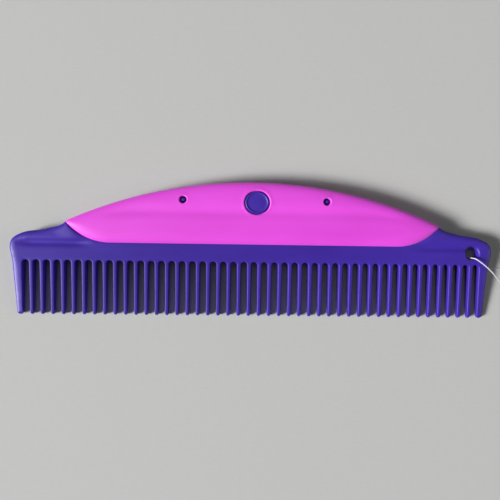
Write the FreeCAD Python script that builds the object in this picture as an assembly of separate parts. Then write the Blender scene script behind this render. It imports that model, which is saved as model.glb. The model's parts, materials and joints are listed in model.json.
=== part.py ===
import FreeCAD, Part
import math
import os

# Mane and tail comb with a soft grip moulded over its back, lying on its back face, in millimetres.
# The comb is built flat first: X along its length, Y from the tooth tips to the grip, Z out of the front,
# with Z = 0 on the parting plane. It is then tipped to rest on Z = 0 with its belly and its tooth tips.

# ---- driving dimensions of the comb
half_length = 114.3  # from the middle to the end of a lobe
pitch = 4.84  # from one slot to the next
slot_count = 45
slot_radius = 1.32  # the round top of a slot, and half its width at the parting plane
slot_top = 25.7  # Y of the highest point of a slot
rail_top = 34.2  # Y where the soft grip begins
arch_top = 63.5  # Y of the grip's highest point
rail_half = 2.5  # half the rail's thickness
split_pitches = 16.5  # the rail ends and a lobe begins on this tooth's centre line

# ---- the right-hand lobe's outer edge, going up from its side to the grip's tip
side_y = 31.4
side_round_middle = (112.4, 36.4)
corner = (106.3, 39.1)
shoulder = (100.4, 39.85)
peak_out, peak_drop = 0.9, 0.7  # the lobe's highest point, outside and below the grip's tip

# ---- teeth
root_width, root_land = 2.2, 1.3  # at the parting plane, and on the front and back faces
tip_width, tip_land = 1.8, 1.0
tip_half = 1.3  # half a tooth's depth near its tip
end_half = 0.72  # and at its very end
tip_round = 1.0  # length of the rounded end
guard_root_width = 5.15
guard_tip_width = 3.0
guard_draft = 0.6  # how far the guard's outer side slopes in to each face
guard_end_inset = 0.6  # how much its rounded end narrows on each side

# ---- grip
arch_radius = 211.8
end_radius = 27.7  # the curve from the grip's lower edge up to its pointed end
straight_half = 67.5  # half the grip's straight lower edge
belly_half = 4.7  # half the grip's thickness
edge_half = 2.6  # height of the grip's upright edge above the parting plane
# the rounded edge: height above the parting plane, inset along the arch, inset along the lower edge
edge_steps = [
    (edge_half, 0.5, 0.0),
    (3.4, 1.1, 0.4),
    (4.0, 2.0, 1.1),
    (4.45, 3.6, 2.6),
    (belly_half, 6.5, 6.0),
]
core_half = 1.9  # half the thickness of the hard core inside the grip
core_inset = 2.4  # soft material over the core along the arch
core_bottom_half = 58.0
core_corner = 76.0  # X of the core's outer corners

# ---- details
hole_x, hole_y, hole_radius = 104.6, 31.4, 3.0
medallion_x, medallion_y = 0.8, 53.9
medallion_half_width, medallion_half_height = 5.6, 5.2
medallion_half = 4.75  # half its thickness: its faces stand 0.05 proud of the grip
well_x, well_y, well_radius = 33.7, 54.8, 1.6
boss_radius, boss_half = 0.85, 3.9

# ---- swing-tag fastener: a thin nylon loop through the hole, and its lock
thread_radius = 0.3
bend_share = 0.45  # how much of the shorter run each bend takes up
lock_length, lock_width, lock_height = 5.4, 3.4, 2.4
lock_round = 0.6
# The loop's route in the resting comb's frame: out over the hole's front rim, down to the surface, round
# through the lock, and back under the lobe to the hole's back rim. The stretch inside the hole is left out.
thread_route = [
    (107.3, -3.35, 6.9),
    (109.9, -5.35, 7.5),
    (113.6, -8.15, 7.4),
    (117.6, -11.35, 4.5),
    (121.8, -14.95, 1.5),
    (126.0, -18.65, 0.36),
    (130.9, -22.15, 0.32),
    (136.6, -24.65, 0.32),
    (142.8, -25.35, 0.32),
    (148.6, -23.35, 0.5),
    (152.4, -18.85, 1.15),
    (153.6, -12.25, 1.15),
    (151.0, -7.05, 0.5),
    (146.0, -4.35, 0.32),
    (140.2, -4.05, 0.32),
    (134.0, -5.35, 0.32),
    (127.6, -6.85, 0.32),
    (121.0, -7.75, 0.32),
    (115.0, -7.35, 0.36),
    (110.6, -5.65, 0.4),
    (107.6, -3.35, 0.5),
]
lock_run = 10  # the lock sits on the run that starts at this point of the route

foot_y = slot_top - slot_radius
split_x = split_pitches * pitch
slot_half_count = (slot_count - 1) // 2
root_draft, tip_draft = (root_width - root_land) / 2, (tip_width - tip_land) / 2
arch_centre_y = arch_top - arch_radius
end_centre_y = rail_top + end_radius


def point(x, y, z=0.0):
    return FreeCAD.Vector(x, y, z)


def line(a, b):
    return Part.LineSegment(a, b).toShape()


def arc(a, middle, b):
    return Part.Arc(a, middle, b).toShape()


def slab(edges, half):
    """A closed outline drawn at Z = 0, made into a plate from -half to +half."""
    face = Part.Face(Part.Wire(edges))
    face.translate(point(0, 0, -half))
    return face.extrude(point(0, 0, 2 * half))


def on_circle(centre, radius, x, upper):
    """The point of a circle at this X, on its upper or its lower side."""
    rise = math.sqrt(radius**2 - (x - centre.x) ** 2)
    return point(x, centre.y + (rise if upper else -rise), centre.z)


def arch_point(x, inset=0.0, z=0.0):
    return on_circle(point(0, arch_centre_y, z), arch_radius - inset, x, True)


def end_point(x, inset=0.0, z=0.0):
    return on_circle(point(math.copysign(straight_half, x), end_centre_y, z), end_radius - inset, x, False)


def grip_tip(arch_inset, low_inset):
    """Where the inset arch meets the inset end curve, on the +X side: two circles crossing."""
    big, small = arch_radius - arch_inset, end_radius - low_inset
    dx, dy = straight_half, end_centre_y - arch_centre_y
    apart = math.hypot(dx, dy)
    along = (big**2 - small**2 + apart**2) / (2 * apart)
    across = math.sqrt(big**2 - along**2)
    return point((along * dx + across * dy) / apart, arch_centre_y + (along * dy - across * dx) / apart)


def grip_outline(arch_inset, low_inset, z):
    """The grip's outline: the arch, two end curves and the straight lower edge."""
    tip = grip_tip(arch_inset, low_inset)
    right, left = point(tip.x, tip.y, z), point(-tip.x, tip.y, z)
    low_right = point(straight_half, rail_top + low_inset, z)
    low_left = point(-straight_half, rail_top + low_inset, z)
    middle = (tip.x + straight_half) / 2
    return Part.Wire(
        [
            arc(left, arch_point(0, arch_inset, z), right),
            arc(right, end_point(middle, low_inset, z), low_right),
            line(low_right, low_left),
            arc(low_left, end_point(-middle, low_inset, z), left),
        ]
    )


def oval_slab(x, y, half_width, half_height, half):
    curve = Part.Ellipse(point(x, y, -half), half_width, half_height)
    return Part.Face(Part.Wire(curve.toShape())).extrude(point(0, 0, 2 * half))


def round_slab(x, y, radius, half):
    return Part.makeCylinder(radius, 2 * half, point(x, y, -half))


def slot_tops(first, last):
    """The round tops of slots first to last, counted from the middle one."""
    return [round_slab(k * pitch, foot_y, slot_radius, 2 * rail_half) for k in range(first, last + 1)]


def comb_rail():
    """The bar that carries the teeth, rising at both ends around the grip."""
    left, right = point(-split_x, foot_y), point(split_x, foot_y)
    low_left, low_right = point(-straight_half, rail_top), point(straight_half, rail_top)
    middle = (split_x + straight_half) / 2
    edges = [
        line(left, right),
        line(right, end_point(split_x)),
        arc(end_point(split_x), end_point(middle), low_right),
        line(low_right, low_left),
        arc(low_left, end_point(-middle), end_point(-split_x)),
        line(end_point(-split_x), left),
    ]
    inner = int(split_pitches)
    return slab(edges, rail_half).cut(slot_tops(-inner, inner))


def end_lobe():
    """The right-hand end of the comb, without its hole."""
    tip = grip_tip(0, 0)
    root_x = slot_half_count * pitch + slot_radius + guard_root_width
    peak = point(tip.x + peak_out, tip.y - peak_drop)
    side = point(half_length, side_y)
    edges = [
        line(point(split_x, foot_y), point(root_x, foot_y)),
        line(point(root_x, foot_y), side),
        arc(side, point(*side_round_middle), point(*corner)),
        line(point(*corner), point(*shoulder)),
        line(point(*shoulder), peak),
        line(peak, tip),
        arc(tip, end_point((tip.x + split_x) / 2), end_point(split_x)),
        line(end_point(split_x), point(split_x, foot_y)),
    ]
    first = int(split_pitches) + 1
    return slab(edges, rail_half).cut(slot_tops(first, slot_half_count))


def mirrored(shape):
    return shape.mirror(point(0, 0), point(1, 0))


def tooth(stations):
    """A drafted tooth through (y, left x, right x, left draft, right draft, half depth) stations."""
    wires = []
    for y, x0, x1, draft0, draft1, half in stations:
        land0, land1 = x0 + draft0, x1 - draft1
        outline = [(x0, 0), (land0, half), (land1, half), (x1, 0), (land1, -half), (land0, -half), (x0, 0)]
        wires.append(Part.makePolygon([point(x, y, z) for x, z in outline]))
    return Part.makeLoft(wires, True, True)


def inner_tooth(x):
    root, tip = root_width / 2, tip_width / 2
    return tooth(
        [
            (foot_y, x - root, x + root, root_draft, root_draft, rail_half),
            (tip_round, x - tip, x + tip, tip_draft, tip_draft, tip_half),
            (0, x - tip / 2, x + tip / 2, tip_draft / 2, tip_draft / 2, end_half),
        ]
    )


def end_guard():
    """The wide outer tooth on the right: its outer edge leans in towards the tip."""
    inner = slot_half_count * pitch + slot_radius
    tip_inner = inner + (root_width - tip_width) / 2
    tip_outer = tip_inner + guard_tip_width
    end_inner, end_outer = tip_inner + guard_end_inset, tip_outer - guard_end_inset
    return tooth(
        [
            (foot_y, inner, inner + guard_root_width, root_draft, guard_draft, rail_half),
            (tip_round, tip_inner, tip_outer, tip_draft, guard_draft, tip_half),
            (0, end_inner, end_outer, tip_draft / 2, guard_draft / 2, end_half),
        ]
    )


def grip_body():
    """The outside of the soft grip, as a stack of outlines that draw in towards both faces."""
    above = [(z, arch_inset, low_inset) for z, arch_inset, low_inset in edge_steps]
    below = [(-z, arch_inset, low_inset) for z, arch_inset, low_inset in reversed(edge_steps)]
    return Part.makeLoft([grip_outline(a, b, z) for z, a, b in below + [(0, 0, 0)] + above], True, True)


def grip_core():
    """The hard web inside the grip, standing on the rail."""
    low_left, low_right = point(-core_bottom_half, rail_top), point(core_bottom_half, rail_top)
    right, left = arch_point(core_corner, core_inset), arch_point(-core_corner, core_inset)
    edges = [
        line(low_left, low_right),
        line(low_right, right),
        arc(right, arch_point(0, core_inset), left),
        line(left, low_left),
    ]
    return slab(edges, core_half)


def build_comb():
    """Every piece of the comb in its flat position, by node name."""
    medallion_size = (medallion_half_width, medallion_half_height, medallion_half)
    medallion = oval_slab(medallion_x, medallion_y, *medallion_size)
    wells = [round_slab(x, well_y, well_radius, 2 * belly_half) for x in (-well_x, well_x)]
    bosses = [round_slab(x, well_y, boss_radius, boss_half) for x in (-well_x, well_x)]
    core = grip_core()
    pieces = {
        "comb_rail": comb_rail(),
        "left_end_lobe": mirrored(end_lobe()),
        "right_end_lobe": end_lobe().cut(round_slab(hole_x, hole_y, hole_radius, 2 * rail_half)),
        "left_end_guard": mirrored(end_guard()),
        "right_end_guard": end_guard(),
        "grip_core": core.cut([medallion] + bosses),
        "soft_grip": grip_body().cut([core, medallion] + wells),
        "centre_medallion": medallion,
        "left_well_boss": bosses[0],
        "right_well_boss": bosses[1],
    }
    for i in range(slot_count - 1):
        pieces[f"tooth_{i + 1:02d}"] = inner_tooth((i - slot_half_count + 0.5) * pitch)
    return pieces


def rest(pieces):
    """Tips the flat comb onto its belly and its tooth tips, centred over the origin."""
    tilt = max(math.atan2(z - tip_half, rail_top + low - tip_round) for z, _, low in edge_steps)
    for shape in pieces.values():
        shape.rotate(point(0, 0), point(1, 0), math.degrees(tilt))
    box = FreeCAD.BoundBox()
    for shape in pieces.values():
        box.add(shape.optimalBoundingBox(False))
    shift = point(-box.Center.x, -box.Center.y, -box.ZMin)
    for shape in pieces.values():
        shape.translate(shift)
    return tilt, shift


def thread_path(route):
    """Straight runs joined by tangent arcs through the route's points."""
    stops = [FreeCAD.Vector(*p) for p in route]
    edges, radii, start = [], [], stops[0]
    for before, here, after in zip(stops, stops[1:], stops[2:]):
        into, out = here - before, after - here
        reach = bend_share * min(into.Length, out.Length)
        turn = into.getAngle(out)
        radius = reach / math.tan(turn / 2)
        into.normalize()
        out.normalize()
        inward = (out - into).normalize()
        first, last = here - into * reach, here + out * reach
        middle = here + inward * (radius / math.cos(turn / 2) - radius)
        edges += [line(start, first), arc(first, middle, last)]
        radii.append(radius)
        start = last
    edges.append(line(start, stops[-1]))
    return Part.Wire(edges), radii


def tag_loop():
    path, radii = thread_path(thread_route)
    start, second = FreeCAD.Vector(*thread_route[0]), FreeCAD.Vector(*thread_route[1])
    section = Part.Wire(Part.makeCircle(thread_radius, start, second - start))
    tube = path.makePipeShell([section], True, True)
    print("thread length", round(path.Length, 2), "radii", [round(r, 1) for r in radii])
    straight_volume = math.pi * thread_radius**2 * path.Length
    print("volume over section times length", round(tube.Volume / straight_volume, 4))
    return tube


def tag_loop_lock(thread):
    """The lock's small block, bored for the thread, standing on the surface."""
    a, b = (FreeCAD.Vector(*p) for p in thread_route[lock_run : lock_run + 2])
    block = Part.makeBox(lock_length, lock_width, lock_height, point(-lock_length / 2, -lock_width / 2))
    block = block.makeFillet(lock_round, block.Edges)
    block.rotate(point(0, 0), point(0, 0, 1), math.degrees(math.atan2(b.y - a.y, b.x - a.x)))
    block.translate(point((a.x + b.x) / 2, (a.y + b.y) / 2))
    return block.cut(thread)


def main():
    pieces = build_comb()
    tilt, shift = rest(pieces)
    axis = point(0, -math.sin(tilt), math.cos(tilt))
    hole = FreeCAD.Rotation(point(1, 0), math.degrees(tilt)).multVec(point(hole_x, hole_y)) + shift
    print("tilt", round(math.degrees(tilt), 4), "shift", shift)
    print("hole centre", hole, "axis", axis)
    pieces["tag_loop"] = tag_loop()
    pieces["tag_loop_lock"] = tag_loop_lock(pieces["tag_loop"])
    os.makedirs("parts", exist_ok=True)
    for name, shape in pieces.items():
        box = shape.optimalBoundingBox(False)
        sides = [round(v, 2) for v in (box.XMin, box.YMin, box.ZMin, box.XMax, box.YMax, box.ZMax)]
        print(name, shape.isValid(), len(shape.Solids), round(shape.Volume, 1), sides)
        shape.exportStep(f"parts/{name}.step")


main()
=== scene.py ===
import json
import math

import bmesh
import bpy
import numpy as np
from mathutils import Euler, Matrix, Vector
from mathutils.geometry import delaunay_2d_cdt


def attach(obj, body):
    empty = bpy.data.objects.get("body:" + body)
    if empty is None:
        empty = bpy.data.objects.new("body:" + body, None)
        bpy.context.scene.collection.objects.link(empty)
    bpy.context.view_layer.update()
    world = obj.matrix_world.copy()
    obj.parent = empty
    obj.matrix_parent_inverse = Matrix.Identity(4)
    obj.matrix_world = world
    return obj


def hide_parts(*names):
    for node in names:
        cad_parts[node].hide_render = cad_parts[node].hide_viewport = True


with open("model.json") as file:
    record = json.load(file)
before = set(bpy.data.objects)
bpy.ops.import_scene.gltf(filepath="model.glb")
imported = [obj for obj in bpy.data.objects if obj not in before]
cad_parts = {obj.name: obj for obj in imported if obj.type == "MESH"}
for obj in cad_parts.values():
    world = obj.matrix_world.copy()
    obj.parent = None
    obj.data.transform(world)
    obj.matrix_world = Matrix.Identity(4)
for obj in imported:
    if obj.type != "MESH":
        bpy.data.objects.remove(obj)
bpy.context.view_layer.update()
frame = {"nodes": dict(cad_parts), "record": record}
mm = 0.001
print("frame loaded:", len(frame["nodes"]), "nodes")

# The comb is drawn flat, in millimetres: X along it, Y from the tooth tips to the grip, Z out of the front.
# It rests tipped on its belly and its tooth tips, and the hanging hole's mount says by how much.
hangingHole = next(m for m in frame["record"]["mounts"] if m["name"] == "hanging_hole")
holePlace = (104.6, 31.4)
tilt = math.atan2(-hangingHole["axis"][1], hangingHole["axis"][2])
turn = Matrix.Rotation(tilt, 4, "X") @ Matrix.Scale(mm, 4)
combPlace = Matrix.Translation(Vector(hangingHole["pos_m"]) - turn @ Vector((*holePlace, 0))) @ turn

# straight above the comb, within a few degrees
camera = {
    "place": (-0.0118, -0.01215, 0.2548), "turn": (2.71, -2.25, 0.68), "lens": 38, "sensor": 36, "clip": (0.01, 10),
}


def makeCamera():
    data = bpy.data.cameras.new("overheadCamera")
    data.lens, data.sensor_width = camera["lens"], camera["sensor"]
    data.clip_start, data.clip_end = camera["clip"]
    eye = bpy.data.objects.new("overheadCamera", data)
    eye.location = camera["place"]
    eye.rotation_euler = Euler([math.radians(a) for a in camera["turn"]], "XYZ")
    bpy.context.scene.collection.objects.link(eye)
    bpy.context.scene.camera = eye


makeCamera()
bpy.context.scene.view_settings.view_transform = "Standard"  # keeps the grip's full magenta
print("camera ready")

# colours, grain and flow of each material, and the plain values of its shader
violet = {
    "light": (0.050, 0.021, 0.345), "dark": (0.038, 0.014, 0.275), "roughness": (0.38, 0.50),
    "grain": 2600, "grainDepth": 0.00003, "flow": 55, "flowDepth": 0.00025,
    "shader": {"IOR": 1.5, "Specular IOR Level": 0.4},
}
pink = {
    "light": (0.79, 0.060, 0.745), "dark": (0.72, 0.045, 0.67), "roughness": (0.50, 0.62),
    "grain": 3400, "grainDepth": 0.00005, "flow": 42, "flowDepth": 0.0002,
    "speck": (0.93, 0.55, 0.88), "specks": 38, "speckSize": 0.011,
    "shader": {"Specular IOR Level": 0.7, "Sheen Weight": 0.15, "Sheen Roughness": 0.5},
}
nylon = {
    "light": (0.86, 0.83, 0.93), "dark": (0.70, 0.67, 0.80), "roughness": (0.22, 0.4),
    "grain": 900, "grainDepth": 0.00002, "flow": 60, "flowDepth": 0.0001,
    "shader": {"IOR": 1.53, "Transmission Weight": 0.25},
}
floorPaint = {
    "light": (0.53, 0.53, 0.52), "dark": (0.515, 0.515, 0.505), "roughness": (0.75, 0.9),
    "grain": 900, "grainDepth": 0.00003, "flow": 900, "flowDepth": 0.00001,
    "shader": {"Specular IOR Level": 0.05},
}
# detail, roughness and stretch of the two noises that every material has
flowNoise = (3, 0.55, (0.35, 1, 1))
grainNoise = (4, 0.6, (1, 1, 1))


def shaderOf(material):
    return next(n for n in material.node_tree.nodes if n.type == "BSDF_PRINCIPLED")


def noise(tree, scale, detail, roughness, stretch):
    # noise in the piece's own metres
    place = tree.nodes.new("ShaderNodeTexCoord")
    turned = tree.nodes.new("ShaderNodeMapping")
    turned.inputs["Scale"].default_value = stretch
    texture = tree.nodes.new("ShaderNodeTexNoise")
    texture.inputs["Scale"].default_value = scale
    texture.inputs["Detail"].default_value = detail
    texture.inputs["Roughness"].default_value = roughness
    tree.links.new(place.outputs["Object"], turned.inputs["Vector"])
    tree.links.new(turned.outputs["Vector"], texture.inputs["Vector"])
    return texture.outputs["Fac"]


def between(tree, value, low, high, fromLow=0.3, fromHigh=0.7):
    # a number that goes from low to high as another goes through its own span
    span = tree.nodes.new("ShaderNodeMapRange")
    span.inputs["From Min"].default_value, span.inputs["From Max"].default_value = fromLow, fromHigh
    span.inputs["To Min"].default_value, span.inputs["To Max"].default_value = low, high
    tree.links.new(value, span.inputs["Value"])
    return span.outputs["Result"]


def mixed(tree, share, first, second):
    # a colour between two others, each a value or a socket
    mix = tree.nodes.new("ShaderNodeMix")
    mix.data_type = "RGBA"
    tree.links.new(share, mix.inputs["Factor"])
    for socket, colour in ((mix.inputs[6], first), (mix.inputs[7], second)):
        if isinstance(colour, tuple):
            socket.default_value = (*colour, 1)
        else:
            tree.links.new(colour, socket)
    return mix.outputs[2]


def bumped(tree, height, distance, below=None):
    bump = tree.nodes.new("ShaderNodeBump")
    bump.inputs["Distance"].default_value = distance
    tree.links.new(height, bump.inputs["Height"])
    if below is not None:
        tree.links.new(below, bump.inputs["Normal"])
    return bump.outputs["Normal"]


def mouldedMaterial(name, finish):
    # moulded colour with a slow flow pattern, a fine grain and uneven gloss
    material = bpy.data.materials.new(name)
    material.use_nodes = True
    tree, shader = material.node_tree, shaderOf(material)
    flow = noise(tree, finish["flow"], *flowNoise)
    grain = noise(tree, finish["grain"], *grainNoise)
    colour = mixed(tree, between(tree, flow, 0, 1), finish["dark"], finish["light"])
    tree.links.new(colour, shader.inputs["Base Color"])
    tree.links.new(between(tree, grain, *finish["roughness"]), shader.inputs["Roughness"])
    slow = bumped(tree, flow, finish["flowDepth"])
    tree.links.new(bumped(tree, grain, finish["grainDepth"], slow), shader.inputs["Normal"])
    for socket, value in finish["shader"].items():
        shader.inputs[socket].default_value = value
    return material


def addDust(material, finish):
    # small pale specks over the colour
    tree, shader = material.node_tree, shaderOf(material)
    plain = shader.inputs["Base Color"].links[0].from_socket
    place = tree.nodes.new("ShaderNodeTexCoord")
    dust = tree.nodes.new("ShaderNodeTexVoronoi")
    dust.inputs["Scale"].default_value = finish["specks"]
    tree.links.new(place.outputs["Object"], dust.inputs["Vector"])
    speck = between(tree, dust.outputs["Distance"], 1, 0, finish["speckSize"], 2 * finish["speckSize"])
    tree.links.new(mixed(tree, speck, plain, finish["speck"]), shader.inputs["Base Color"])


violetPlastic = mouldedMaterial("violetPlastic", violet)
pinkRubber = mouldedMaterial("pinkRubber", pink)
addDust(pinkRubber, pink)
clearNylon = mouldedMaterial("clearNylon", nylon)
print("materials mixed")


def inward(line):
    # the direction to the left of a line of points, at each point
    line = np.asarray(line, float)
    step = np.diff(line, axis=0)
    step /= np.linalg.norm(step, axis=1)[:, None]
    before, after = np.vstack([step[:1], step]), np.vstack([step, step[-1:]])
    mean = before + after
    mean /= np.linalg.norm(mean, axis=1)[:, None]
    return np.stack([-mean[:, 1], mean[:, 0]], 1)


def spread(points, step):
    # evenly spaced points along a line of points, both ends kept
    points = np.asarray(points, float)
    run = np.concatenate([[0], np.cumsum(np.linalg.norm(np.diff(points, axis=0), axis=1))])
    count = max(2, round(run[-1] / step) + 1)
    at = np.linspace(0, run[-1], count)
    return np.stack([np.interp(at, run, points[:, k]) for k in (0, 1)], 1)


def smoothLine(points, step):
    # a smooth line through given points
    points = np.asarray(points, float)
    ends = np.vstack([2 * points[0] - points[1], points, 2 * points[-1] - points[-2]])
    line = []
    for a, b, c, d in zip(ends, ends[1:], ends[2:], ends[3:]):
        square, cube = 2 * a - 5 * b + 4 * c - d, 3 * b - a - 3 * c + d
        for t in np.linspace(0, 1, 12, endpoint=False):
            line.append(0.5 * (2 * b + (c - a) * t + square * t**2 + cube * t**3))
    return spread(line + [points[-1]], step)


def arcLine(centre, radius, start, end, step):
    # part of a circle, angles in degrees
    count = max(3, round(abs(math.radians(end - start)) * radius / step) + 1)
    angles = np.radians(np.linspace(start, end, count))
    return np.stack([centre[0] + radius * np.cos(angles), centre[1] + radius * np.sin(angles)], 1)


def distanceTo(points, line):
    # how far each point is from a line of points
    near = np.full(len(points), 1e9)
    for a, b in zip(line, line[1:]):
        along = b - a
        t = np.clip((points - a) @ along / (along @ along), 0, 1)
        near = np.minimum(near, np.linalg.norm(points - a - t[:, None] * along, axis=1))
    return near


def insideOf(points, ring):
    # which points lie inside a closed ring
    found = np.zeros(len(points), bool)
    x, y = points[:, 0], points[:, 1]
    for (x0, y0), (x1, y1) in zip(ring, np.roll(ring, -1, 0)):
        if y0 != y1:
            found ^= ((y0 > y) != (y1 > y)) & (x < (x1 - x0) * (y - y0) / (y1 - y0) + x0)
    return found


def rollOff(distance, edge):
    # the share of full height this far in from a rim whose edge is (inset, share) pairs
    return np.interp(distance, [e[0] for e in edge], [e[1] for e in edge])


fillGap = 0.85  # how near to a rim a plate's inner points may come, in millimetres
rowShare = 0.93  # the share of its inset that a point beside a rim must keep from every rim
sameCorner = 0.0001  # corners of a plate's outline this near to each other are one
weldGap = 0.002  # and so are corners of a finished piece this near


def reliefPlate(ring, holes, rims, fill, heightOf):
    # a plate with a shaped front and back: ring and holes bound it, rims are (line, edge) with the line's
    # left side in the material, fill holds points of its faces, and heightOf gives half its thickness
    points, edges = [], []
    for loop in [ring] + holes:
        first = len(points)
        points += [tuple(p) for p in loop]
        edges += [(first + i, first + (i + 1) % len(loop)) for i in range(len(loop))]
    rows, reach = [fill], [np.full(len(fill), fillGap)]
    for line, edge in rims:
        normals = inward(line)
        for inset, _ in edge[1:]:
            rows.append(line + normals * inset)
            reach.append(np.full(len(line), rowShare * inset))
    rows, reach = np.vstack(rows), np.concatenate(reach)
    near = np.min([distanceTo(rows, line) for line, _ in rims], axis=0)
    held = insideOf(rows, ring) & (near >= reach)
    for hole in holes:
        held &= ~insideOf(rows, hole)
    points += [tuple(p) for p in rows[held]]
    corners, _, faces, _, _, _ = delaunay_2d_cdt([Vector(p) for p in points], edges, [], 0, sameCorner)
    flat = np.array([tuple(c) for c in corners])
    middles = np.array([flat[list(f)].mean(0) for f in faces])
    kept = insideOf(middles, ring)
    for hole in holes:
        kept &= ~insideOf(middles, hole)
    faces = [f for f, k in zip(faces, kept) if k]
    height = heightOf(flat, [distanceTo(flat, line) for line, _ in rims])
    front = [(x, y, z) for (x, y), z in zip(flat, height)]
    back = [(x, y, -z) for (x, y), z in zip(flat, height)]
    count = len(flat)
    return front + back, [tuple(f) for f in faces] + [tuple(count + i for i in reversed(f)) for f in faces]


def meshObject(name, corners, faces, material, place=combPlace):
    # welds the corners in millimetres, turns the faces outwards, then puts the mesh in its place
    shape = bmesh.new()
    dots = [shape.verts.new(c) for c in corners]
    for face in faces:
        shape.faces.new([dots[i] for i in face])
    bmesh.ops.remove_doubles(shape, verts=shape.verts, dist=weldGap)
    bmesh.ops.recalc_face_normals(shape, faces=shape.faces)
    shape.transform(place)
    mesh = bpy.data.meshes.new(name)
    shape.to_mesh(mesh)
    shape.free()
    mesh.polygons.foreach_set("use_smooth", [True] * len(mesh.polygons))
    mesh.materials.append(material)
    made = bpy.data.objects.new(name, mesh)
    bpy.context.scene.collection.objects.link(made)
    return made


def settle(piece, slot, *nodes):
    # the piece rides with the comb and stands for these CAD nodes
    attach(piece, "root")
    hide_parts(*nodes)


# hard comb: one moulding of rail, lobes, guards and teeth, in millimetres
# an edge is a list of (inset from the rim, share of the full height)
comb = {
    "pitch": 4.84, "slots": 45, "slotRadius": 1.32, "slotTop": 25.7, "holeRadius": 3.0,
    "railHalf": 2.5, "tipHalfDepth": 1.3, "tipEndDepth": 0.72,
    "toothTipHalf": 0.9, "toothTipRound": 0.95, "guardTip": (108.0, 111.0), "guardTipRound": 1.2,
    "slotEdge": [(0, 0), (0.08, 0.35), (0.15, 0.65), (0.21, 0.83), (0.29, 0.93), (0.38, 0.985), (0.48, 1)],
    "outerEdge": [
        (0, 0), (0.06, 0.34), (0.18, 0.56), (0.42, 0.72), (0.85, 0.84), (1.5, 0.925), (2.3, 0.975), (3.1, 1),
    ],
    "seamEdge": [(0, 0), (0.02, 0.93), (0.1, 0.97), (0.3, 1)],
    "holeEdge": [(0, 0), (0.03, 0.74), (0.5, 0.93), (0.85, 1)],
    # the right lobe's edge, going up from the guard to the grip's tip
    "lobe": [
        (112.95, 24.38), (113.6, 28.0), (114.25, 31.4), (114.0, 34.0), (112.7, 36.1), (110.2, 37.7),
        (106.3, 39.1), (100.4, 39.85), (95.4, 40.95), (91.6, 41.95), (89.4, 43.0), (88.66, 44.05),
    ],
    # a valley under the lobe's thin upper fin, and the rise to meet the grip; each pair is where one fades in or out
    "creaseY": 34.0, "creaseWidth": 1.4, "creaseDepth": 0.9, "finY": 35.9, "finRise": 0.35, "gripRise": 0.7,
    "lobeStart": (74, 84), "lobeEnd": (104, 113), "riseReach": (0, 8), "riseStart": (74, 86), "riseFoot": (32, 39),
    "reliefFoot": (27, 29),
}
# how closely the comb's lines and faces are sampled, in millimetres; three numbers are a start, an end and a step
combMesh = {
    "arcStep": 0.3, "toothStep": 2.5, "flankStep": 1.2, "lobeStep": 0.9, "seamStep": 1.0, "holeStep": 0.4,
    "lobeColumns": (-113.5, 114, 0.95), "lobeRows": (27.3, 44, 0.9), "lobesFrom": 64,
    "railColumns": (-61.25, 62, 2.45), "railRows": (28.2, 30.2, 32.2),
    "guardRows": (2.4, 27, 1.2), "guardColumns": (1.0, 1.6, 2.2),
}

# soft grip: its back, its lower edge with round ends, its edges' sections, a finger groove, a window and two wells
grip = {
    "archCentre": (0, -148.3), "archRadius": 211.8, "endCentre": (67.5, 61.9), "endRadius": 27.7,
    "tip": (88.66, 44.05), "belly": 4.7,
    "archEdge": [
        (0, 0), (0.03, 0.42), (0.12, 0.5), (0.35, 0.6), (0.8, 0.71), (1.6, 0.815), (2.8, 0.9), (4.4, 0.96), (7, 1),
    ],
    "lowEdge": [
        (0, 0), (0.02, 0.54), (0.1, 0.585), (0.35, 0.67), (0.9, 0.775), (1.8, 0.87), (3.2, 0.945), (5, 0.985),
        (7.5, 1),
    ],
    "grooveY": 49.3, "grooveWidth": 2.5, "grooveDepth": 0.6, "grooveFromArch": (1.5, 7), "grooveFromSeam": (1.5, 9),
    "windowEdge": [(0, 0), (0.03, 0.80), (0.2, 0.95), (0.5, 1.02), (0.9, 1.025), (1.5, 1)],
    "wellEdge": [(0, 0), (0.03, 0.82), (0.18, 0.95), (0.45, 1.01), (0.8, 1)],
    "wells": (33.7, 54.8), "wellRadius": 1.6,
}
# the same for the grip: its columns of face points keep clear of the rows along its edges
gripMesh = {
    "edgeStep": 1.0, "windowStep": 0.09, "wellStep": 0.35, "columns": (-85, 85.5, 1.15), "rowStep": 1.1,
    "overSeam": 5.6, "underArch": 5.2, "margins": 10,
}

foot = comb["slotTop"] - comb["slotRadius"]
joinY = comb["slotTop"] + comb["slotEdge"][-1][0]
outerSlot = (comb["slots"] - 1) / 2 * comb["pitch"]


def ease(value, start, end):
    t = np.clip((value - start) / (end - start), 0, 1)
    return t * t * (3 - 2 * t)


def endAngle():
    return math.degrees(math.atan2(grip["tip"][1] - grip["endCentre"][1], grip["tip"][0] - grip["endCentre"][0]))


def lowLine(step):
    # the grip's lower edge from its right tip to its left tip
    right = arcLine(grip["endCentre"], grip["endRadius"], endAngle(), -90, step)
    middle = spread([right[-1], (-right[-1][0], right[-1][1])], step)
    return np.vstack([right, middle[1:-1], right[::-1] * (-1, 1)])


def archLine(step):
    # the grip's back from its right tip to its left tip
    x, y = grip["archCentre"]
    angle = math.degrees(math.atan2(grip["tip"][1] - y, grip["tip"][0] - x))
    return arcLine((x, y), grip["archRadius"], angle, 180 - angle, step)


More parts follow.
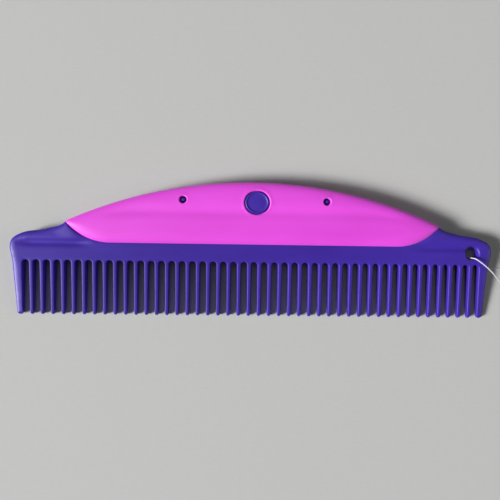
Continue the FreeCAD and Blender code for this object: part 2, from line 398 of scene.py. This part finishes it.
def combDepth(x, y):
    # half the moulding's thickness: teeth taper, the rail is level, and the lobes rise to meet the grip
    taper = np.interp(y, [0, 1, foot], [comb["tipEndDepth"], comb["tipHalfDepth"], comb["railHalf"]])
    side = np.abs(x)
    endX, endY = grip["endCentre"]
    fromGrip = np.hypot(side - endX, y - endY) - grip["endRadius"]
    lobe = ease(side, *comb["lobeStart"]) * (1 - ease(side, *comb["lobeEnd"]))
    crease = comb["creaseDepth"] * np.exp(-(((y - comb["creaseY"]) / comb["creaseWidth"]) ** 2)) * lobe
    fin = comb["finRise"] * ease(y, comb["creaseY"], comb["finY"]) * lobe
    near = (1 - ease(fromGrip, *comb["riseReach"])) * ease(side, *comb["riseStart"])
    rise = comb["gripRise"] * near * ease(y, *comb["riseFoot"])
    return taper + (fin + rise - crease) * ease(y, *comb["reliefFoot"])


def toothCell():
    # one tooth with the halves of the slots beside it, from slot centre to slot centre
    tipHalf, tipRound = comb["toothTipHalf"], comb["toothTipRound"]
    tip = [(tipHalf * math.sin(a), tipRound * (1 - math.cos(a))) for a in np.radians([0, 20, 40, 60, 75, 90])]
    flank = spread([tip[-1], (comb["pitch"] / 2 - comb["slotRadius"], foot)], combMesh["toothStep"])
    top = arcLine((comb["pitch"] / 2, foot), comb["slotRadius"], 180, 90, combMesh["arcStep"])
    right = np.vstack([tip, flank[1:-1], top])
    line = np.vstack([right[:0:-1] * (-1, 1), right])
    normals = inward(line)
    normals[0] = normals[-1] = normals[len(right) - 1] = (0, 1)
    corners, faces = [], []
    levels = len(comb["slotEdge"])
    for side in (1, -1):
        first = len(corners)
        for inset, share in comb["slotEdge"]:
            corners += [(x, y, side * share) for x, y in line + normals * inset]
        count = len(line)
        for k in range(levels - 1):
            for i in range(count - 1):
                a = first + k * count + i
                faces.append((a, a + 1, a + count + 1, a + count)[::side])
        land = first + (levels - 1) * count
        for i in range(count // 2):
            quad = [land + i, land + i + 1, land + count - 2 - i, land + count - 1 - i]
            faces.append(tuple(dict.fromkeys(quad))[::side])
    return corners, faces


def rowTree():
    # repeats a tooth along the comb and joins each copy to the next
    tree = bpy.data.node_groups.new("toothRow", "GeometryNodeTree")
    tree.interface.new_socket("Geometry", in_out="OUTPUT", socket_type="NodeSocketGeometry")
    tree.interface.new_socket("Tooth", in_out="INPUT", socket_type="NodeSocketGeometry")
    for name, kind in (
        ("First Tooth", "NodeSocketFloat"), ("Pitch", "NodeSocketFloat"), ("Teeth", "NodeSocketInt"),
        ("Weld Distance", "NodeSocketFloat"), ("Plastic", "NodeSocketMaterial"),
    ):
        tree.interface.new_socket(name, in_out="INPUT", socket_type=kind)
    start = tree.nodes.new("NodeGroupInput")
    end = tree.nodes.new("NodeGroupOutput")
    first, step = tree.nodes.new("ShaderNodeCombineXYZ"), tree.nodes.new("ShaderNodeCombineXYZ")
    row = tree.nodes.new("GeometryNodeMeshLine")
    copies = tree.nodes.new("GeometryNodeInstanceOnPoints")
    real = tree.nodes.new("GeometryNodeRealizeInstances")
    weld = tree.nodes.new("GeometryNodeMergeByDistance")
    paint = tree.nodes.new("GeometryNodeSetMaterial")
    for a, b in (
        (start.outputs["First Tooth"], first.inputs["X"]), (start.outputs["Pitch"], step.inputs["X"]),
        (first.outputs["Vector"], row.inputs["Start Location"]), (step.outputs["Vector"], row.inputs["Offset"]),
        (start.outputs["Teeth"], row.inputs["Count"]), (row.outputs["Mesh"], copies.inputs["Points"]),
        (start.outputs["Tooth"], copies.inputs["Instance"]), (copies.outputs["Instances"], real.inputs["Geometry"]),
        (real.outputs["Geometry"], weld.inputs["Geometry"]),
        (start.outputs["Weld Distance"], weld.inputs["Distance"]),
        (weld.outputs["Geometry"], paint.inputs["Geometry"]), (start.outputs["Plastic"], paint.inputs["Material"]),
        (paint.outputs["Geometry"], end.inputs["Geometry"]),
    ):
        tree.links.new(a, b)
    return tree


def grownMesh(tree, corners, faces, values):
    # runs a node tree on a mesh and returns the plain mesh that it makes
    seed = bpy.data.meshes.new("seed")
    seed.from_pydata(corners, [], faces)
    holder = bpy.data.objects.new("seed", seed)
    bpy.context.scene.collection.objects.link(holder)
    modifier = holder.modifiers.new(tree.name, "NODES")
    modifier.node_group = tree
    sockets = {s.name: s.identifier for s in tree.interface.items_tree if s.in_out == "INPUT"}
    for name, value in values.items():
        modifier[sockets[name]] = value
    grown = bpy.data.meshes.new_from_object(holder.evaluated_get(bpy.context.evaluated_depsgraph_get()))
    bpy.data.objects.remove(holder)
    return grown


def combBody():
    # rail, lobes and guards, with unit height to be given the comb's thickness later
    a, b = comb["guardTip"]
    tipRound = comb["guardTipRound"]
    slotSide = np.vstack([
        arcLine((outerSlot, foot), comb["slotRadius"], 90, 0, combMesh["arcStep"]),
        spread([(outerSlot + comb["slotRadius"], foot), (a, tipRound)], combMesh["flankStep"])[1:],
    ])
    tipArc = [(math.cos(t), math.sin(t)) for t in np.radians([0, 22, 45, 68, 90])]
    middle, half = (a + b) / 2, (b - a) / 2
    innerTip = [(middle - half * x, tipRound * (1 - y)) for x, y in tipArc[1:]]
    outerTip = [(middle + half * x, tipRound * (1 - y)) for x, y in tipArc[::-1]]
    inner = np.vstack([slotSide, innerTip])
    flank = spread([(b, tipRound), comb["lobe"][0]], combMesh["flankStep"])
    outer = np.vstack([outerTip, flank[1:-1], smoothLine(comb["lobe"], combMesh["lobeStep"])])
    seam = lowLine(combMesh["seamStep"])
    seam[0] = outer[-1]
    seam[-1] = outer[-1] * (-1, 1)
    climb = [(outerSlot, comb["slotTop"] + inset) for inset, _ in comb["slotEdge"][1:-1]]
    join = [((k - (comb["slots"] - 1) / 2) * comb["pitch"], joinY) for k in range(comb["slots"])]
    ring = np.vstack([
        inner, outer[1:], seam[1:], (outer * (-1, 1))[-2::-1], (inner * (-1, 1))[-2::-1],
        np.array(climb) * (-1, 1), join, climb[::-1],
    ])
    hole = arcLine(holePlace, comb["holeRadius"], 360, 0, combMesh["holeStep"])
    rims = [
        (inner, comb["slotEdge"]), (outer, comb["outerEdge"]), (seam, comb["seamEdge"]),
        ((outer * (-1, 1))[::-1], comb["outerEdge"]), ((inner * (-1, 1))[::-1], comb["slotEdge"]),
        (hole, comb["holeEdge"]),
    ]
    lobes = [
        (x, y) for x in np.arange(*combMesh["lobeColumns"]) for y in np.arange(*combMesh["lobeRows"])
        if abs(x) > combMesh["lobesFrom"]
    ]
    rail = [(x, y) for x in np.arange(*combMesh["railColumns"]) for y in combMesh["railRows"]]
    guard = [
        (side * (outerSlot + comb["slotRadius"] + across), y)
        for y in np.arange(*combMesh["guardRows"]) for across in combMesh["guardColumns"] for side in (1, -1)
    ]
    fill = np.array(lobes + rail + guard)

    def heights(flat, distances):
        return np.min([rollOff(d, edge) for d, (_, edge) in zip(distances, rims)], axis=0)

    return reliefPlate(ring, [hole[:-1]], rims, fill, heights)


def makeComb():
    teeth = comb["slots"] - 1
    row = grownMesh(rowTree(), *toothCell(), {
        "First Tooth": -outerSlot + comb["pitch"] / 2, "Pitch": comb["pitch"], "Teeth": teeth,
        "Weld Distance": weldGap, "Plastic": violetPlastic,
    })
    corners, faces = combBody()
    count = len(corners)
    corners = list(corners) + [tuple(v.co) for v in row.vertices]
    faces = faces + [tuple(count + i for i in p.vertices) for p in row.polygons]
    place = np.array(corners)
    place[:, 2] *= combDepth(place[:, 0], place[:, 1])
    piece = meshObject("combMoulding", place.tolist(), faces, violetPlastic)
    settle(
        piece, "violet_plastic", "comb_rail", "left_end_lobe", "right_end_lobe", "left_end_guard", "right_end_guard",
        *[f"tooth_{i + 1:02d}" for i in range(teeth)],
    )
    return piece


def gripHeight(y, distances):
    # the belly falls away to both edges, with a level finger groove along it
    arch, low = rollOff(distances[0], grip["archEdge"]), rollOff(distances[1], grip["lowEdge"])
    share = 1 - ((1 - arch) ** 3 + (1 - low) ** 3) ** (1 / 3)
    groove = grip["grooveDepth"] * np.exp(-(((y - grip["grooveY"]) / grip["grooveWidth"]) ** 2))
    groove = groove * ease(distances[0], *grip["grooveFromArch"]) * ease(distances[1], *grip["grooveFromSeam"])
    return grip["belly"] * np.clip(share, 0, 1) - groove


def makeGrip():
    arch, low = archLine(gripMesh["edgeStep"]), lowLine(gripMesh["edgeStep"])[::-1]
    arch[0], arch[-1], low[0], low[-1] = low[-1], low[0], low[0], low[-1]
    ring = np.vstack([arch, low[1:-1]])
    x, y = medallion["centre"]
    a, b = medallion["halfWidth"] + medallion["gap"], medallion["halfHeight"] + medallion["gap"]
    window = arcLine((0, 0), 1, 360, 0, gripMesh["windowStep"]) * (a, b) + (x, y)
    wells = [
        arcLine((side * grip["wells"][0], grip["wells"][1]), grip["wellRadius"], 360, 0, gripMesh["wellStep"])
        for side in (1, -1)
    ]
    rims = [
        (arch, grip["archEdge"][:-1]), (low, grip["lowEdge"][:-1]), (window, grip["windowEdge"]),
        (wells[0], grip["wellEdge"]), (wells[1], grip["wellEdge"]),
    ]
    fill = []
    for px in np.arange(*gripMesh["columns"]):
        top = grip["archCentre"][1] + math.sqrt(grip["archRadius"] ** 2 - px**2)
        over = max(0, abs(px) - grip["endCentre"][0])
        bottom = grip["endCentre"][1] - math.sqrt(grip["endRadius"] ** 2 - over**2)
        count = max(1, round((top - bottom - gripMesh["margins"]) / gripMesh["rowStep"]))
        rows = np.linspace(bottom + gripMesh["overSeam"], top - gripMesh["underArch"], count)
        fill += [(px, py) for py in rows]
    fill = np.array(fill)

    def heights(flat, distances):
        height = gripHeight(flat[:, 1], distances)
        for d, (_, edge) in zip(distances[2:], rims[2:]):
            height = height * rollOff(d, edge)
        return height

    corners, faces = reliefPlate(ring, [window[:-1], wells[0][:-1], wells[1][:-1]], rims, fill, heights)
    piece = meshObject("softGrip", corners, faces, pinkRubber)
    settle(piece, "pink_rubber", "soft_grip")
    return piece


def turned(name, centre, halfWidth, halfHeight, profile, material, step=0.35):
    # rings of one shape stacked over the comb's middle plane and mirrored below it
    count = max(24, round(2 * math.pi * halfWidth / step))
    angles = np.linspace(0, 2 * math.pi, count, endpoint=False)
    corners, faces = [], []
    for side in (1, -1):
        first = len(corners)
        for scale, z in profile:
            corners += [
                (centre[0] + halfWidth * scale * math.cos(t), centre[1] + halfHeight * scale * math.sin(t), side * z)
                for t in angles
            ]
        for k in range(len(profile) - 1):
            for i in range(count):
                j = (i + 1) % count
                a, b = first + k * count, first + (k + 1) * count
                faces.append((a + i, a + j, b + j, b + i)[::side])
        top = first + (len(profile) - 1) * count
        faces.append(tuple(range(top, top + count))[::side])
    return meshObject(name, corners, faces, material)


# emblem pad and well studs
medallion = {
    "centre": (0.8, 53.9), "halfWidth": 5.6, "halfHeight": 5.2, "gap": 0.2,
    # share of the outline and height, from the middle plane up over the raised border to the face
    "profile": [
        (1, 0), (1, 4.3), (0.99, 4.5), (0.965, 4.66), (0.93, 4.74), (0.90, 4.75), (0.87, 4.73), (0.845, 4.62),
        (0.82, 4.5), (0.79, 4.46), (0.6, 4.53), (0.35, 4.6), (0.12, 4.63),
    ],
}
wellStud = {
    "radius": 0.85, "step": 0.15,
    "profile": [(1, 0), (1, 3.45), (0.95, 3.68), (0.84, 3.82), (0.66, 3.89), (0.45, 3.9), (0.15, 3.88)],
}

combMoulding = makeComb()
print("comb moulded:", len(combMoulding.data.polygons), "faces")
softGrip = makeGrip()
print("grip moulded:", len(softGrip.data.polygons), "faces")
gripMedallion = turned(
    "gripMedallion", medallion["centre"], medallion["halfWidth"], medallion["halfHeight"], medallion["profile"],
    violetPlastic,
)
settle(gripMedallion, "violet_plastic", "centre_medallion")
for side, name, node in ((-1, "wellStudLeft", "left_well_boss"), (1, "wellStudRight", "right_well_boss")):
    radius = wellStud["radius"]
    centre = (side * grip["wells"][0], grip["wells"][1])
    stud = turned(name, centre, radius, radius, wellStud["profile"], violetPlastic, wellStud["step"])
    settle(stud, "violet_plastic", node)
print("medallion and well studs placed")

# tag loop, in metres
tagLoopSet = {"diameter": 0.0006, "length": 0.125, "bevelSteps": 4, "steps": 16}
# from inside the hole, out over its front rim, round through the lock, and back up into the hole
tagRoute = [
    (0.1032, -0.00205, 0.0028), (0.1045, -0.00255, 0.0046), (0.1056, -0.00295, 0.0072),
    (0.1070, -0.00395, 0.0077), (0.1097, -0.00595, 0.0078), (0.1134, -0.00905, 0.0074), (0.1175, -0.01225, 0.0045),
    (0.1217, -0.01565, 0.0015), (0.1260, -0.01905, 0.00036), (0.1309, -0.02215, 0.00032),
    (0.1366, -0.02465, 0.00032), (0.1428, -0.02535, 0.00032), (0.1486, -0.02335, 0.0005),
    (0.1524, -0.01885, 0.00115), (0.1536, -0.01225, 0.00115), (0.1510, -0.00705, 0.0005),
    (0.1460, -0.00435, 0.00032), (0.1402, -0.00405, 0.00032), (0.1340, -0.00535, 0.00032),
    (0.1276, -0.00685, 0.00032), (0.1210, -0.00775, 0.00032), (0.1150, -0.00735, 0.00036),
    (0.1106, -0.00565, 0.0004), (0.1076, -0.00335, 0.0005), (0.1056, -0.00215, 0.0006),
    (0.1042, -0.00185, 0.0008), (0.1033, -0.00175, 0.0018),
]


def makeTagLoop():
    data = bpy.data.curves.new("tagLoop", "CURVE")
    data.dimensions = "3D"
    data.bevel_depth = tagLoopSet["diameter"] / 2
    data.bevel_resolution = tagLoopSet["bevelSteps"]
    data.resolution_u = tagLoopSet["steps"]
    data.use_fill_caps = True
    spline = data.splines.new("NURBS")
    spline.points.add(len(tagRoute) - 1)
    for point, place in zip(spline.points, tagRoute):
        point.co = (*place, 1)
    spline.order_u = 3
    spline.use_endpoint_u = True
    data.materials.append(clearNylon)
    loop = bpy.data.objects.new("tagLoop", data)
    bpy.context.scene.collection.objects.link(loop)
    return loop


tagLoop = makeTagLoop()
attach(tagLoop, "root")
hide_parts("tag_loop")

# the loop's lock, in millimetres, lying between two points of the route
tagLock = {
    "between": (13, 14), "length": 5.4, "halfWidth": 1.7, "halfHeight": 1.2, "corner": 3.2, "around": 36,
    # along the lock from its socket end: place and share of the full width, with three finger ribs and a nose
    "stations": [
        (0, 0.45), (0.01, 0.66), (0.03, 0.78), (0.07, 0.85), (0.13, 0.86), (0.145, 0.97), (0.16, 1), (0.235, 1),
        (0.25, 0.97), (0.27, 0.86), (0.33, 0.85), (0.345, 0.93), (0.365, 0.95), (0.385, 0.93), (0.40, 0.85),
        (0.45, 0.85), (0.465, 0.93), (0.485, 0.95), (0.505, 0.93), (0.52, 0.85), (0.57, 0.85), (0.585, 0.93),
        (0.605, 0.95), (0.625, 0.93), (0.64, 0.85), (0.72, 0.84), (0.80, 0.80), (0.88, 0.72), (0.94, 0.62),
        (0.98, 0.50), (1, 0.34),
    ],
}


def makeTagLock():
    # a small moulded barrel round the thread, flat enough to lie on the floor
    a, b = (Vector(tagRoute[k]) for k in tagLock["between"])
    heading = math.atan2(b.y - a.y, b.x - a.x)
    half = tagLock["halfHeight"]
    place = Matrix.Translation(((a.x + b.x) / 2, (a.y + b.y) / 2, half * mm)) @ Matrix.Rotation(heading, 4, "Z")
    angles = np.linspace(0, 2 * math.pi, tagLock["around"], endpoint=False)
    power = 2 / tagLock["corner"]
    ring = np.stack([np.sign(f(angles)) * np.abs(f(angles)) ** power for f in (np.cos, np.sin)], 1)
    corners, faces = [], []
    count = len(angles)
    for share, width in tagLock["stations"]:
        along = (share - 0.5) * tagLock["length"]
        corners += [(along, y * width * tagLock["halfWidth"], z * width * half) for y, z in ring]
    for k in range(len(tagLock["stations"]) - 1):
        for i in range(count):
            j = (i + 1) % count
            faces.append((k * count + i, k * count + j, (k + 1) * count + j, (k + 1) * count + i))
    last = len(corners) - count
    faces += [tuple(range(count))[::-1], tuple(range(last, last + count))]
    return meshObject("tagLoopLock", corners, faces, clearNylon, place @ Matrix.Scale(mm, 4))


lockBarrel = makeTagLock()
settle(lockBarrel, "clear_nylon", "tag_loop_lock")
print("tag loop and its lock laid")

# the CAD solids that stay take the looks of what they are
for name, node in frame["nodes"].items():
    paint = pinkRubber if name == "soft_grip" else clearNylon if name.startswith("tag") else violetPlastic
    node.data.materials.clear()
    node.data.materials.append(paint)

# floor and light: a low, soft key from the left, and a dim room
room = {"floorHalf": 3.0, "wall": (0.44, 0.44, 0.435), "ambient": 0.055}
key = {"place": (-1.25, -0.42, 0.74), "angle": 14, "strength": 3.2}
glows = {
    "leftGlow": {"place": (-1.9, -0.6, 1.1), "size": 1.0, "power": 40},
    "rightFill": {"place": (1.3, -0.1, 0.7), "size": 0.8, "power": 3.0},
    "topFill": {"place": (-0.3, 0.5, 1.6), "size": 1.0, "power": 1.0},
}


def makeFloor():
    mesh = bpy.data.meshes.new("floor")
    half = room["floorHalf"]
    mesh.from_pydata([(-half, -half, 0), (half, -half, 0), (half, half, 0), (-half, half, 0)], [], [(0, 1, 2, 3)])
    floor = bpy.data.objects.new("floor", mesh)
    bpy.context.scene.collection.objects.link(floor)
    mesh.materials.append(mouldedMaterial("paleFloor", floorPaint))


def addLight(name, kind, place):
    # a light that points at the origin
    data = bpy.data.lights.new(name, kind)
    light = bpy.data.objects.new(name, data)
    light.location = place
    light.rotation_euler = (-Vector(place)).to_track_quat("-Z", "Y").to_euler()
    bpy.context.scene.collection.objects.link(light)
    return data


def makeLights():
    sun = addLight("windowKey", "SUN", key["place"])
    sun.angle = math.radians(key["angle"])
    sun.energy = key["strength"]
    for name, glow in glows.items():
        disk = addLight(name, "AREA", glow["place"])
        disk.shape = "DISK"
        disk.size = glow["size"]
        disk.energy = glow["power"]


def makeRoom():
    # a dim room that looks pale behind the floor
    world = bpy.data.worlds.new("studioRoom")
    world.use_nodes = True
    tree = world.node_tree
    seen, dim = tree.nodes.new("ShaderNodeBackground"), tree.nodes["Background"]
    seen.inputs["Color"].default_value = (*room["wall"], 1)
    dim.inputs["Color"].default_value = (1, 1, 1, 1)
    dim.inputs["Strength"].default_value = room["ambient"]
    rays, mix = tree.nodes.new("ShaderNodeLightPath"), tree.nodes.new("ShaderNodeMixShader")
    tree.links.new(rays.outputs["Is Camera Ray"], mix.inputs["Fac"])
    tree.links.new(dim.outputs["Background"], mix.inputs[1])
    tree.links.new(seen.outputs["Background"], mix.inputs[2])
    tree.links.new(mix.outputs["Shader"], tree.nodes["World Output"].inputs["Surface"])
    bpy.context.scene.world = world


makeFloor()
makeLights()
makeRoom()
print("floor and lights ready")
